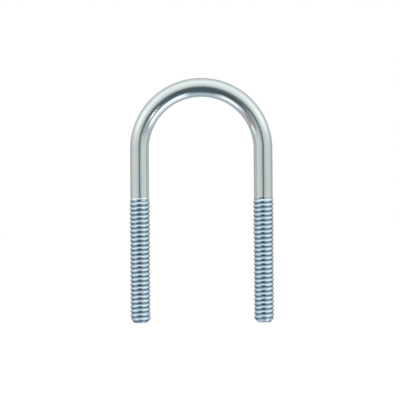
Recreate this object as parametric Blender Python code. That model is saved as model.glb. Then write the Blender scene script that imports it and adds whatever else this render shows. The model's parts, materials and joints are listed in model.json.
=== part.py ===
"""A bare U-bolt: one round steel rod bent to a half circle, with a right-hand thread on each leg.

Metres, +Z up. The U stands in the XZ plane with its bow on top. The origin is midway between the
two leg ends, on the plane of their flat faces.
"""

from math import cos, pi, sin

import bmesh
import bpy
from mathutils import Matrix, Vector

# The rod and its bend
ROD_DIAMETER = 0.0054  # plain bar, about the thread's pitch diameter, as a rolled thread needs
INSIDE_WIDTH = 0.0300  # clear width between the plain legs
OVERALL_HEIGHT = 0.0700  # from the leg ends to the top of the bow

# The thread: 20 turns to the inch, right-hand, 60 degree form
THREAD_PITCH = 0.0254 / 20
THREAD_TURNS = 28.5  # from the leg end to where the last groove has faded out
RUN_OUT_TURNS = 1.5  # length of that fade, inside THREAD_TURNS
CREST_DIAMETER = 0.00615
ROOT_DIAMETER = 0.00479

# The leg ends: a flat face inside a 45 degree chamfer
END_FACE_DIAMETER = 0.0037

# How finely the round shapes are cut into flat faces
SIDES = 16  # around the rod
BOW_RINGS = 48  # along the half circle, an even number

# One pitch in sixteenths: the crest's two edges, then the root's two edges. Adding the number of
# a side, also in sixteenths of a turn, keeps every vertex on one even lattice along the leg.
CREST_START, CREST_END, ROOT_START, ROOT_END = 0, 3, 8, 11

ROD_RADIUS = ROD_DIAMETER / 2
CREST_RADIUS = CREST_DIAMETER / 2
ROOT_RADIUS = ROOT_DIAMETER / 2
BEND_RADIUS = (INSIDE_WIDTH + ROD_DIAMETER) / 2  # of the rod's centreline
LEG_LENGTH = OVERALL_HEIGHT - BEND_RADIUS - ROD_RADIUS  # from the leg end to the start of the bend
THREAD_LENGTH = THREAD_TURNS * THREAD_PITCH
RUN_OUT_LENGTH = RUN_OUT_TURNS * THREAD_PITCH
SHARP_EDGE = 0.6  # radians: thread and chamfer edges stay crisp, the rod shades smooth
WELD_DISTANCE = 0.000002  # joins the two halves at the crown, far below any edge's length

# Bright zinc plating with a blue-white passivation
PLATING_COLOUR = (0.62, 0.68, 0.70, 1.0)
PLATING_ROUGHNESS = 0.24


def clear_scene():
    for thing in list(bpy.data.objects):
        bpy.data.objects.remove(thing, do_unlink=True)


def zinc_steel():
    """Bright blue-white zinc plating over drawn steel."""
    material = bpy.data.materials.new("zinc_plated_steel")
    material.use_nodes = True
    shader = material.node_tree.nodes["Principled BSDF"]
    shader.inputs["Base Color"].default_value = PLATING_COLOUR
    shader.inputs["Metallic"].default_value = 1.0
    shader.inputs["Roughness"].default_value = PLATING_ROUGHNESS
    return material


def around(radius, turn_share):
    """A point of the rod's section: +X faces the inside of the U on the left leg."""
    angle = 2 * pi * turn_share
    return Vector((radius * cos(angle), radius * sin(angle), 0.0))


def leg_radius(form_radius, height):
    """The thread form at a height above the leg end, after the run-out and the end chamfer."""
    to_the_top = THREAD_LENGTH - height
    fade = min(1.0, max(0.0, to_the_top / RUN_OUT_LENGTH))
    radius = ROD_RADIUS + (form_radius - ROD_RADIUS) * fade
    return min(radius, END_FACE_DIAMETER / 2 + height)


def thread_rows():
    """The thread's edges, each a helix: its start in sixteenths of a pitch, and its form radius."""
    one_turn = (
        (CREST_START, CREST_RADIUS),
        (CREST_END, CREST_RADIUS),
        (ROOT_START, ROOT_RADIUS),
        (ROOT_END, ROOT_RADIUS),
    )
    turns = range(-1, int(THREAD_TURNS) + 2)
    return [(SIDES * turn + step, radius) for turn in turns for step, radius in one_turn]


def add_leg(mesh):
    """The left leg's threaded length and end face. Returns its top ring of vertices.

    A row of vertices follows the helix once round, and its last vertex is the first of the row one
    turn above. Rows that start below the leg end or pass the thread's top are held at that level.
    """
    foot = Vector((-BEND_RADIUS, 0.0, 0.0))
    made = {}

    def vertex(start, form_radius, side):
        start, side = start + SIDES * (side // SIDES), side % SIDES
        height = THREAD_PITCH * (start + side) / SIDES
        height = min(THREAD_LENGTH, max(0.0, height))
        place = (round(height / THREAD_PITCH * SIDES), side)
        if place not in made:
            radius = leg_radius(form_radius, height)
            made[place] = mesh.verts.new(foot + around(radius, side / SIDES) + Vector((0, 0, height)))
        return made[place]

    rows = thread_rows()
    for (low, low_radius), (high, high_radius) in zip(rows, rows[1:]):
        for side in range(SIDES):
            corners = (
                vertex(low, low_radius, side),
                vertex(low, low_radius, side + 1),
                vertex(high, high_radius, side + 1),
                vertex(high, high_radius, side),
            )
            add_patch(mesh, corners)
    bottom = [made[(0, side)] for side in range(SIDES)]
    mesh.faces.new(reversed(bottom))
    top_level = round(THREAD_TURNS * SIDES)
    return [made[(top_level, side)] for side in range(SIDES)]


def add_patch(mesh, corners):
    """A quad cut along the helix, or what is left of it where rows are held at an end."""
    low_left, low_right, high_right, high_left = corners
    for triangle in ((low_left, low_right, high_right), (low_left, high_right, high_left)):
        if len(set(triangle)) == 3:
            mesh.faces.new(triangle)


def ring_on_bow(mesh, angle):
    """A ring of the plain rod, at an angle along the bend: 0 at the left leg, pi at the right."""
    inward = Vector((cos(angle), 0.0, -sin(angle)))
    centre = Vector((0.0, 0.0, LEG_LENGTH)) - inward * BEND_RADIUS
    ring = []
    for side in range(SIDES):
        flat = around(ROD_RADIUS, side / SIDES)
        ring.append(mesh.verts.new(centre + inward * flat.x + Vector((0.0, flat.y, 0.0))))
    return ring


def join_rings(mesh, below, above):
    for side in range(SIDES):
        after = (side + 1) % SIDES
        mesh.faces.new((below[side], below[after], above[after], above[side]))


def u_bolt_mesh():
    """The left half of the bolt, and the same half turned by 180 degrees about Z.

    A turn keeps the thread right-handed, where a mirror image would not.
    """
    mesh = bmesh.new()
    ring = add_leg(mesh)
    for step in range(BOW_RINGS // 2 + 1):
        above = ring_on_bow(mesh, pi * step / BOW_RINGS)
        join_rings(mesh, ring, above)
        ring = above
    half = mesh.verts[:] + mesh.edges[:] + mesh.faces[:]
    copy = bmesh.ops.duplicate(mesh, geom=half)
    turned = [item for item in copy["geom"] if isinstance(item, bmesh.types.BMVert)]
    bmesh.ops.rotate(mesh, verts=turned, cent=(0, 0, 0), matrix=Matrix.Rotation(pi, 3, "Z"))
    bmesh.ops.remove_doubles(mesh, verts=mesh.verts, dist=WELD_DISTANCE)
    data = bpy.data.meshes.new("u_bolt")
    mesh.to_mesh(data)
    mesh.free()
    return data


def main():
    clear_scene()
    data = u_bolt_mesh()
    data.materials.append(zinc_steel())
    data.shade_smooth()
    data.set_sharp_from_angle(angle=SHARP_EDGE)
    bolt = bpy.data.objects.new("u_bolt", data)
    bpy.context.scene.collection.objects.link(bolt)


main()
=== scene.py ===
import json
from math import cos, pi, radians, sin

import bpy
import numpy as np
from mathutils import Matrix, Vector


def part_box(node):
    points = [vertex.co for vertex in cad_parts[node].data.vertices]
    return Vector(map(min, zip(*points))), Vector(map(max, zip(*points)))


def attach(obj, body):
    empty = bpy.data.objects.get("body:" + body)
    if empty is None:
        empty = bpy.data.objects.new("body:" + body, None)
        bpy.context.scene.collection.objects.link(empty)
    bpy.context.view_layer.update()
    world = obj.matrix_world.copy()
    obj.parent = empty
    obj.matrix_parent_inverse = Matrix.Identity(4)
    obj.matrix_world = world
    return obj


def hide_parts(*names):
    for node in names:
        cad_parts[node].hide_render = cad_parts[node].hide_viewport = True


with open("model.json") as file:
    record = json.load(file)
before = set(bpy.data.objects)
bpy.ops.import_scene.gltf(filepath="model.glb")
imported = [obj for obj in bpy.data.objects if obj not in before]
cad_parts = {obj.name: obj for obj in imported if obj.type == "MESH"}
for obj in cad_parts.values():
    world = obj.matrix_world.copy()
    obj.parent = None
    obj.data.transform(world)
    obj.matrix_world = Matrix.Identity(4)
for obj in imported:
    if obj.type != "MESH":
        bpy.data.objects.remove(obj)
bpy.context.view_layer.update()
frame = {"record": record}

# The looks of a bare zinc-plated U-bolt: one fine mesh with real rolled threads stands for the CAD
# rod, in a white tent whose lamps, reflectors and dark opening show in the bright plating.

# ---------------------------------------------------------------- sizes, in metres, from the frame
LOW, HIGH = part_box("u_bolt")
MOUNTS = {mount["name"]: mount for mount in frame["record"]["mounts"]}
BEND_RADIUS = abs(MOUNTS["left_leg_end"]["pos_m"][0])  # of the rod's centreline
HEIGHT = HIGH.z - LOW.z
ROD_RADIUS = 0.0027
LEG_LENGTH = HEIGHT - BEND_RADIUS - ROD_RADIUS  # from the leg end to the start of the bend
CROWN = LEG_LENGTH + BEND_RADIUS * pi / 2  # along the rod, from the leg end to the top of the bow
BOLT_CENTRE = (LOW + HIGH) / 2

# The thread: 20 turns to the inch, right-hand, rolled
THREAD_PITCH = 0.0254 / 20
THREAD_TURNS = 28.5
RUN_OUT_TURNS = 1.5
CREST_RADIUS = 0.002985  # rolled, plated and slightly worn, so rounder than the sharp CAD form
ROOT_RADIUS = 0.00260
THREAD_LENGTH = THREAD_TURNS * THREAD_PITCH
END_FACE_RADIUS = 0.00185

# How fine the mesh is: sides round the rod, which are also the steps that a pitch is counted in
SIDES = 64
ROW_STEPS = 4  # from one row of vertices along the thread to the next
ROWS_IN_A_PITCH = tuple(range(0, SIDES, ROW_STEPS))
CREST_STEP = 6  # where in a pitch the crest is
PAINTED_SHADE_STEP = 43  # where the painted shade is darkest: on the flank that faces down, near the root
PAINTED_SHADE_POWER = 0.9  # under 1, so the painted shade spreads a little wider than a cosine
SHANK_RINGS = 12
BOW_RINGS = 160
SHARP_EDGE = radians(50)

# The unrolled rod, in shares of the texture square
BAKE_LAYER = "OFBake"  # the layer that holds the unrolled rod
STRIPS = 4
MARGIN = 0.012
END_DISC = 0.02
ROUNDING = 1e-9  # metres, for comparing lengths along the rod


# ---------------------------------------------------------------- the rod's mesh
def thread_form(step):
    """Radius of the rounded thread form at a step of the pitch."""
    wave = cos(2 * pi * (step - CREST_STEP) / SIDES)
    return (CREST_RADIUS + ROOT_RADIUS) / 2 + (CREST_RADIUS - ROOT_RADIUS) / 2 * wave


def painted_shade_share(step):
    """How much painted shade lies at a step of the pitch: the thread's downward flanks are darkened
    as if in shade.
    """
    return (0.5 + 0.5 * cos(2 * pi * (step - PAINTED_SHADE_STEP) / SIDES)) ** PAINTED_SHADE_POWER


def fade_out(height):
    """How much of the thread is there at a height above the leg end: it runs out at its top."""
    share = min(1.0, max(0.0, (THREAD_LENGTH - height) / (RUN_OUT_TURNS * THREAD_PITCH)))
    return share * share * (3 - 2 * share)


def thread_radius(form, height):
    """The form's radius at a height above the leg end, after the run-out and the end chamfer."""
    radius = ROD_RADIUS + (form - ROD_RADIUS) * fade_out(height)
    return min(radius, END_FACE_RADIUS + height)


class Rod:
    """Vertices of the rod's left half, with their places on it before it was bent, and its faces."""

    def __init__(self):
        self.points = []
        self.straight = []  # inward, across and along, in metres
        self.thread = []  # 1 in the thread and 0 on the plain rod
        self.painted_shade = []  # 1 where the thread gets the most painted shade
        self.faces = []
        self.corner_sides = []  # the side number of each face's corners, 0 to SIDES

    def vertex(self, along, side, radius, thread=0.0, painted_shade=0.0):
        """A vertex at a length along the rod, from the leg end to the crown of the bow."""
        turn = 2 * pi * side / SIDES
        inward, across = radius * cos(turn), radius * sin(turn)
        bend = max(0.0, (along - LEG_LENGTH) / BEND_RADIUS)
        height = min(along, LEG_LENGTH)
        reach = BEND_RADIUS - inward
        self.points.append((-reach * cos(bend), across, height + reach * sin(bend)))
        self.straight.append((inward, across, along))
        self.thread.append(thread)
        self.painted_shade.append(painted_shade)
        return len(self.points) - 1

    def face(self, corners, sides):
        """A face, unless two of its corners are the same vertex."""
        if len(set(corners)) == len(corners):
            self.faces.append(tuple(corners))
            self.corner_sides.append(tuple(sides))


def add_thread(rod):
    """The left leg's thread as rows along the helix. Returns the ring of vertices at its top."""
    made = {}
    top = int(THREAD_TURNS * SIDES)

    def vertex(turn, step, side):
        turn, side = turn + side // SIDES, side % SIDES
        level = min(top, max(0, SIDES * turn + step + side))
        if (level, side) not in made:
            along = level * THREAD_PITCH / SIDES
            radius = thread_radius(thread_form(step), along)
            thread = fade_out(along)
            # each thread vertex carries its share of painted shade, darkest on the downward flanks
            made[level, side] = rod.vertex(along, side, radius, thread, thread * painted_shade_share(step))
        return made[level, side]

    turns = range(-1, int(THREAD_TURNS) + 2)
    rows = [(turn, step) for turn in turns for step in ROWS_IN_A_PITCH]
    for low, high in zip(rows, rows[1:]):
        for side in range(SIDES):
            low_here, low_next = vertex(*low, side), vertex(*low, side + 1)
            high_here, high_next = vertex(*high, side), vertex(*high, side + 1)
            rod.face((low_here, low_next, high_next), (side, side + 1, side + 1))
            rod.face((low_here, high_next, high_here), (side, side + 1, side))
    foot = range(SIDES - 1, -1, -1)
    rod.face([made[0, side] for side in foot], foot)
    return [made[top, side] for side in range(SIDES)]


def add_plain_rod(rod, ring):
    """The plain shank and the left half of the bow, from the thread's top ring to the crown."""
    shank = np.linspace(THREAD_LENGTH, LEG_LENGTH, SHANK_RINGS + 1)[1:]
    bow = np.linspace(LEG_LENGTH, CROWN, BOW_RINGS // 2 + 1)[1:]
    for along in (*shank, *bow):
        above = [rod.vertex(float(along), side, ROD_RADIUS) for side in range(SIDES)]
        for side in range(SIDES):
            after = (side + 1) % SIDES
            corners = (ring[side], ring[after], above[after], above[side])
            rod.face(corners, (side, side + 1, side + 1, side))
        ring = above
    return ring


def unrolled(straight, sides, turned):
    """A face's corners on the unrolled rod: four strips side by side, and the two end faces below.

    Each half of the rod has a strip for its thread and a strip for its plain length.
    """
    along = straight[:, 2]
    if len(sides) == SIDES:
        across = straight[:, :2] / END_FACE_RADIUS * END_DISC
        middle = (0.75 if turned else 0.25, MARGIN + END_DISC)
        return across + middle
    threaded = along.max() <= THREAD_LENGTH + ROUNDING
    start, end = (0.0, THREAD_LENGTH) if threaded else (THREAD_LENGTH, CROWN)
    strip = 2 * turned + (not threaded)
    u = (strip + MARGIN + (1 - 2 * MARGIN) * np.array(sides) / SIDES) / STRIPS
    floor = 2 * (MARGIN + END_DISC)
    v = floor + (1 - MARGIN - floor) * (along - start) / (end - start)
    return np.stack((u, v), 1)


def add_unrolled_layer(mesh, rod, straight):
    """Places on the texture square for the faces of both halves."""
    corners = [
        unrolled(straight[list(face)], sides, turned)
        for turned in (0, 1)
        for face, sides in zip(rod.faces, rod.corner_sides)
    ]
    layer = mesh.uv_layers.new(name=BAKE_LAYER)
    layer.data.foreach_set("uv", np.concatenate(corners).astype("f").ravel())


def add_values(mesh, name, values):
    """A number for each vertex, which the material reads by its name."""
    layer = mesh.attributes.new(name, "FLOAT", "POINT")
    layer.data.foreach_set("value", np.array(values, "f"))


def add_places(mesh, name, places):
    """A place for each vertex, which the material reads by its name."""
    layer = mesh.attributes.new(name, "FLOAT_VECTOR", "POINT")
    layer.data.foreach_set("vector", places.astype("f").ravel())


def rod_object():
    """The left half, and the same half turned by 180 degrees about Z, joined at the crown."""
    rod = Rod()
    crown_ring = add_plain_rod(rod, add_thread(rod))
    points, straight = np.array(rod.points), np.array(rod.straight)
    count = len(points)
    keep = slice(0, count - SIDES)  # all but the crown's ring, which was made last
    # The turned half's vertices follow the first half's, but it shares the ring at the crown, where
    # its side n is side -n of the first half.
    twin = np.arange(count) + count
    for side in range(SIDES):
        twin[crown_ring[side]] = crown_ring[-side % SIDES]
    turned_points = points[keep] * (-1, -1, 1)
    turned_straight = straight[keep] * (1, -1, -1) + (0, 0, 2 * straight[:, 2].max())
    turned_faces = [tuple(int(twin[index]) for index in face) for face in rod.faces]

    mesh = bpy.data.meshes.new("zinc_u_bolt")
    mesh.from_pydata(np.vstack((points, turned_points)).tolist(), [], rod.faces + turned_faces)
    add_places(mesh, "straight", np.vstack((straight, turned_straight)))
    add_values(mesh, "thread", rod.thread + rod.thread[keep])
    # painted shade on the threads' lower flanks, which the material reads
    add_values(mesh, "painted_shade", rod.painted_shade + rod.painted_shade[keep])
    add_unrolled_layer(mesh, rod, straight)
    mesh.shade_smooth()
    mesh.set_sharp_from_angle(angle=SHARP_EDGE)
    thing = bpy.data.objects.new("zinc_u_bolt", mesh)
    bpy.context.scene.collection.objects.link(thing)
    return thing


# ---------------------------------------------------------------- node helpers
class Nodes:
    """A node tree that is built with short calls."""

    def __init__(self, tree):
        self.tree = tree
        tree.nodes.clear()

    def add(self, kind, **settings):
        node = self.tree.nodes.new(kind)
        for name, value in settings.items():
            setattr(node, name, value)
        return node

    def put(self, socket, value):
        """A link if the value is a socket, or else the socket's own value."""
        if isinstance(value, bpy.types.NodeSocket):
            self.tree.links.new(value, socket)
        else:
            socket.default_value = value

    def math(self, operation, *values):
        node = self.add("ShaderNodeMath", operation=operation)
        for socket, value in zip(node.inputs, values):
            self.put(socket, value)
        return node.outputs[0]

    def split(self, vector):
        node = self.add("ShaderNodeSeparateXYZ")
        self.put(node.inputs[0], vector)
        return node.outputs

    def ramp(self, value, low, high, start=0.0, end=1.0):
        """A smooth step from start to end while the value goes from low to high."""
        node = self.add("ShaderNodeMapRange", interpolation_type="SMOOTHSTEP")
        for name, part in (("Value", value), ("From Min", low), ("From Max", high)):
            self.put(node.inputs[name], part)
        node.inputs["To Min"].default_value = start
        node.inputs["To Max"].default_value = end
        return node.outputs["Result"]

    def mix(self, share, first, second):
        node = self.add("ShaderNodeMix", data_type="RGBA")
        self.put(node.inputs[0], share)
        self.put(node.inputs[6], first)
        self.put(node.inputs[7], second)
        return node.outputs[2]

    def noise(self, place, along, scale, detail):
        """Noise on the straight rod. Along the rod it changes at only a share of its scale."""
        stretched = self.add("ShaderNodeVectorMath", operation="MULTIPLY")
        self.put(stretched.inputs[0], place)
        self.put(stretched.inputs[1], (1.0, 1.0, along))
        node = self.add("ShaderNodeTexNoise")
        self.put(node.inputs["Vector"], stretched.outputs[0])
        self.put(node.inputs["Scale"], scale)
        self.put(node.inputs["Detail"], detail)
        return node.outputs["Fac"]


# ---------------------------------------------------------------- materials
# Noise on the rod: the share of its scale along the rod, its scale round the rod, and its detail
CLOUDS = (0.35, 420.0, 3.0)
STRAW = (0.12, 650.0, 1.0)
LINES = (0.02, 5200.0, 3.0)  # the die's lines
GRAIN = (1.0, 9000.0, 2.0)
WAVES = (0.06, 700.0, 1.0)
STREAKS = (0.03, 2000.0, 2.0)

BLUE_WHITE = (0.70, 0.80, 0.82, 1)
PALE_GREY = (0.75, 0.82, 0.82, 1)
PALE_STRAW = (0.80, 0.82, 0.74, 1)
BURNISHED_BLUE = (0.755, 0.905, 0.975, 1)
# the dark blue painted into the threads' downward flanks as shade
PAINTED_SHADE_BLUE = (0.13, 0.22, 0.28, 1)

CLOUD_EDGES = (0.35, 0.65)  # the noise at which pale grey starts, and at which it is full
STRAW_EDGES = (0.52, 0.75)
MOST_STRAW = 0.7
STRAW_OUTWARD = 0.15  # what the straw's noise gains on the U's outer side and loses on its inner side

# The least roughness, and the most that each of the others adds to it
LEAST_ROUGHNESS = 0.08
LINES_ROUGHNESS = 0.12
GRAIN_ROUGHNESS = 0.06
THREAD_ROUGHNESS = 0.02

RELIEF_DEPTH = 0.00006
RELIEF_STRENGTH = 0.5
LINES_RELIEF = 0.09  # in shares of the waves' relief
STREAKS_RELIEF = 0.5


def zinc():
    """Bright zinc plating with a thin blue passivation, over steel that was drawn lengthwise."""
    material = bpy.data.materials.new("zinc_plated_steel")
    material.use_nodes = True
    nodes = Nodes(material.node_tree)
    out = nodes.add("ShaderNodeOutputMaterial")
    shader = nodes.add("ShaderNodeBsdfPrincipled")
    nodes.put(out.inputs["Surface"], shader.outputs[0])
    place = nodes.add("ShaderNodeAttribute", attribute_name="straight").outputs["Vector"]
    thread = nodes.add("ShaderNodeAttribute", attribute_name="thread").outputs["Fac"]
    # where the threads' lower flanks get painted shade
    painted_shade = nodes.add("ShaderNodeAttribute", attribute_name="painted_shade").outputs["Fac"]

    # Slow tints of the passivation: blue-white, a neutral grey and a faint straw colour, which shows
    # more on the outer side of the U than on its inner side.
    grey = nodes.ramp(nodes.noise(place, *CLOUDS), *CLOUD_EDGES)
    tint = nodes.mix(grey, BLUE_WHITE, PALE_GREY)
    inward = nodes.split(place)["X"]
    straw = nodes.noise(place, *STRAW)
    straw = nodes.math("MULTIPLY_ADD", inward, -STRAW_OUTWARD / ROD_RADIUS, straw)
    tint = nodes.mix(nodes.ramp(straw, *STRAW_EDGES, 0.0, MOST_STRAW), tint, PALE_STRAW)
    # The burnished threads are brighter and bluer, and painted shade darkens their lower flanks.
    tint = nodes.mix(thread, tint, BURNISHED_BLUE)
    # painted shade: the lower flanks are darkened towards dark blue
    tint = nodes.mix(painted_shade, tint, PAINTED_SHADE_BLUE)
    nodes.put(shader.inputs["Base Color"], tint)
    shader.inputs["Metallic"].default_value = 1.0

    lines = nodes.noise(place, *LINES)
    rough = nodes.math("MULTIPLY_ADD", lines, LINES_ROUGHNESS, LEAST_ROUGHNESS)
    rough = nodes.math("MULTIPLY_ADD", nodes.noise(place, *GRAIN), GRAIN_ROUGHNESS, rough)
    rough = nodes.math("MULTIPLY_ADD", thread, THREAD_ROUGHNESS, rough)
    nodes.put(shader.inputs["Roughness"], rough)

    relief = nodes.math("MULTIPLY_ADD", lines, LINES_RELIEF, nodes.noise(place, *WAVES))
    relief = nodes.math("MULTIPLY_ADD", nodes.noise(place, *STREAKS), STREAKS_RELIEF, relief)
    bump = nodes.add("ShaderNodeBump")
    bump.inputs["Strength"].default_value = RELIEF_STRENGTH
    bump.inputs["Distance"].default_value = RELIEF_DEPTH
    nodes.put(bump.inputs["Height"], relief)
    nodes.put(shader.inputs["Normal"], bump.outputs["Normal"])
    return material


MATTE = 0.9


def plain_white(name, glow, albedo):
    """Matte white with some light of its own, so that it stays paper white in soft light."""
    material = bpy.data.materials.new(name)
    material.use_nodes = True
    shader = material.node_tree.nodes["Principled BSDF"]
    shader.inputs["Base Color"].default_value = (albedo, albedo, albedo, 1)
    shader.inputs["Roughness"].default_value = MATTE
    shader.inputs["Specular IOR Level"].default_value = 0.0
    shader.inputs["Emission Color"].default_value = (1, 1, 1, 1)
    shader.inputs["Emission Strength"].default_value = glow
    return material


# ---------------------------------------------------------------- studio
STAGE_RADIUS = 2.5
STAGE_SIDES = 96
FLOOR_GAP = 0.0002  # the floor lies this far under the leg ends
FLOOR_GLOW = 0.55
FLOOR_ALBEDO = 0.7
BACKDROP_GLOW = 1.0
BACKDROP_ALBEDO = 0.0


def disc(name, radius, height):
    turns = [2 * pi * side / STAGE_SIDES for side in range(STAGE_SIDES)]
    rim = [(radius * cos(turn), radius * sin(turn), height) for turn in turns]
    mesh = bpy.data.meshes.new(name)
    mesh.from_pydata(rim, [], [tuple(range(STAGE_SIDES))])
    return mesh


def studio():
    """A white floor, and a white dome that only the camera sees."""
    floor = bpy.data.objects.new("floor", disc("floor", STAGE_RADIUS, LOW.z - FLOOR_GAP))
    floor.data.materials.append(plain_white("floor_white", FLOOR_GLOW, FLOOR_ALBEDO))
    bpy.context.scene.collection.objects.link(floor)
    bpy.ops.mesh.primitive_uv_sphere_add(segments=64, ring_count=32, radius=STAGE_RADIUS)
    dome = bpy.context.active_object
    dome.name = "backdrop"
    dome.data.materials.append(plain_white("backdrop_white", BACKDROP_GLOW, BACKDROP_ALBEDO))
    for thing in (floor, dome):
        thing.visible_glossy = False
    dome.visible_diffuse = False
    dome.visible_shadow = False
    dome.visible_transmission = False


# The light, as seen from the bolt. A direction is given by two angles in degrees: how far it is off
# the line to the camera, from 0 to 180, and how far it is turned round that line, where 0 is straight
# down, 90 is to the right and 180 is up. The cloth of the tent is given along three such turns, as
# pairs of an angle off the line and a brightness.
CLOTH_UP = (
    (0, 0.16), (10, 0.20), (16, 0.50), (27, 0.76), (40, 0.90), (54, 0.98), (68, 1.11),
    (84, 1.08), (101, 0.86), (124, 0.68), (146, 0.50), (180, 0.36),
)
CLOTH_LEVEL = (
    (0, 0.26), (6, 0.31), (13, 0.56), (27, 0.68), (54, 0.76), (84, 0.72), (124, 0.62),
    (150, 0.50), (180, 0.40),
)
CLOTH_DOWN = (
    (0, 0.20), (8, 0.24), (16, 0.60), (30, 0.68), (60, 0.66), (94, 0.58), (124, 0.54),
    (150, 0.48), (180, 0.40),
)
CLOTH_TINTS = ((0.97, 0.99, 1.00), (0.985, 1.0, 0.985), (0.88, 1.0, 1.08))  # up, level and down
LEVEL_TO_UP = (90, 120)  # turns to either side over which one cloth gives way to the next
LEVEL_TO_DOWN = (85, 60)

# Things in or in front of the cloth: angles off the line (from, to, softness), turns round it (from,
# to, softness), and the light that comes from there. A later one covers those before it.
MIDDLE = -20  # a patch from here covers the line to the camera too, as it has no inner edge
PATCHES = (
    ("paper on the left", (101, 150, 6), (-100, -15, 6), (0.555, 0.520, 0.540)),
    ("paper on the right", (101, 150, 6), (15, 100, 6), (0.535, 0.525, 0.545)),
    ("left window", (54, 82, 12), (-128, -108, 10), (1.28, 1.26, 1.20)),
    ("right window", (54, 82, 12), (108, 128, 10), (1.28, 1.26, 1.20)),
    ("box on the right", (14, 62, 5), (58, 74, 3), (0.35, 0.325, 0.32)),
    ("table edge", (46, 52, 3), (44, 84, 6), (0.42, 0.43, 0.46)),
    ("box on the left", (24, 97, 6), (-72, -50, 4), (0.375, 0.325, 0.335)),
    ("lamp on the left", (70, 86, 3), (-73.5, -66.5, 3), (1.9, 1.88, 1.9)),
    ("reflector on the left", (62, 101, 4), (-45.5, -20, 8), (1.50, 1.38, 1.46)),
    ("reflector on the right", (57, 105, 6), (15, 66, 4), (1.45, 1.40, 1.48)),
    ("stand", (32, 72, 12), (-18, 13, 5), (0.12, 0.17, 0.20)),
    ("camera's left side", (MIDDLE, 7, 5), (-108, -51, 8), (0.20, 0.27, 0.30)),
    ("camera's right side", (MIDDLE, 7, 5), (48, 130, 8), (0.20, 0.27, 0.30)),
    ("opening", (MIDDLE, 47, 4), (-51, 52.5, 3), (0.082, 0.110, 0.132)),
    ("opening's left side", (MIDDLE, 50, 4), (-51, -15, 5), (0.064, 0.088, 0.106)),
    ("opening's right corner", (MIDDLE, 17.5, 3), (40, 68, 4), (0.010, 0.015, 0.020)),
    ("opening's upper left corner", (MIDDLE, 10, 3), (-140, -112, 6), (0.010, 0.015, 0.020)),
    ("small lamp", (22, 36, 2.5), (55, 58, 2.5), (5.8, 5.8, 5.9)),
)


def tent():
    """The world: a white tent with lamps and reflectors, and a dark opening round the camera."""
    world = bpy.data.worlds.new("tent")
    world.use_nodes = True
    bpy.context.scene.world = world
    nodes = Nodes(world.node_tree)
    out = nodes.add("ShaderNodeOutputWorld")
    light = nodes.add("ShaderNodeBackground")
    nodes.put(out.inputs["Surface"], light.outputs[0])
    x, y, z = nodes.split(nodes.add("ShaderNodeTexCoord").outputs["Generated"])
    off = nodes.math("ARCCOSINE", nodes.math("MULTIPLY", y, -1.0))
    off = nodes.math("MULTIPLY", off, 180 / pi)
    turn = nodes.math("ARCTAN2", x, nodes.math("MULTIPLY", z, -1.0))
    turn = nodes.math("MULTIPLY", turn, 180 / pi)
    either_side = nodes.math("ABSOLUTE", turn)

    def cloth(stops, tint):
        node = nodes.add("ShaderNodeValToRGB")
        elements = node.color_ramp.elements
        while len(elements) < len(stops):
            elements.new(0.5)
        for element, (angle, grey) in zip(elements, stops):
            element.position = angle / 180
            element.color = (*(grey * share for share in tint), 1)
        nodes.put(node.inputs[0], nodes.math("DIVIDE", off, 180.0))
        return node.outputs[0]

    up, level, down = map(cloth, (CLOTH_UP, CLOTH_LEVEL, CLOTH_DOWN), CLOTH_TINTS)
    colour = nodes.mix(nodes.ramp(either_side, *LEVEL_TO_UP), level, up)
    colour = nodes.mix(nodes.ramp(either_side, *LEVEL_TO_DOWN), colour, down)
    for _, (near, far, soft), (start, end, soft_turn), shade in PATCHES:
        share = nodes.ramp(off, near - soft, near + soft)
        share = nodes.math("MULTIPLY", share, nodes.ramp(off, far + soft, far - soft))
        within = nodes.ramp(turn, start - soft_turn, start + soft_turn)
        within = nodes.math("MULTIPLY", within, nodes.ramp(turn, end + soft_turn, end - soft_turn))
        share = nodes.math("MULTIPLY", share, within)
        colour = nodes.mix(share, colour, (*shade, 1))
    nodes.put(light.inputs["Color"], colour)


VIEW_WIDTH_IN_HEIGHTS = 1.637  # what the picture spans, in heights of the bolt
CAMERA_DISTANCE = 1.0
CAMERA_LEAN = radians(0.4)
AIM_LEFT = 0.00045  # how far the picture's middle is to the left of the bolt's, and above it
AIM_ABOVE = 0.00005
CLIP_START = 0.01
CLIP_END = 10.0


def camera():
    """Level with the bolt, square to its bow, and far enough away for almost no perspective."""
    data = bpy.data.cameras.new("camera")
    data.lens = data.sensor_width * CAMERA_DISTANCE / (VIEW_WIDTH_IN_HEIGHTS * HEIGHT)
    data.clip_start = CLIP_START
    data.clip_end = CLIP_END
    thing = bpy.data.objects.new("camera", data)
    thing.location = (-AIM_LEFT, -CAMERA_DISTANCE, BOLT_CENTRE.z + AIM_ABOVE)
    thing.rotation_euler = (pi / 2, CAMERA_LEAN, 0.0)
    bpy.context.scene.collection.objects.link(thing)
    bpy.context.scene.camera = thing


# ---------------------------------------------------------------- the scene
bolt = rod_object()
bolt.data.materials.append(zinc())
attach(bolt, "root")
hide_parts("u_bolt")
studio()
tent()
camera()
bpy.context.scene.view_settings.view_transform = "Standard"
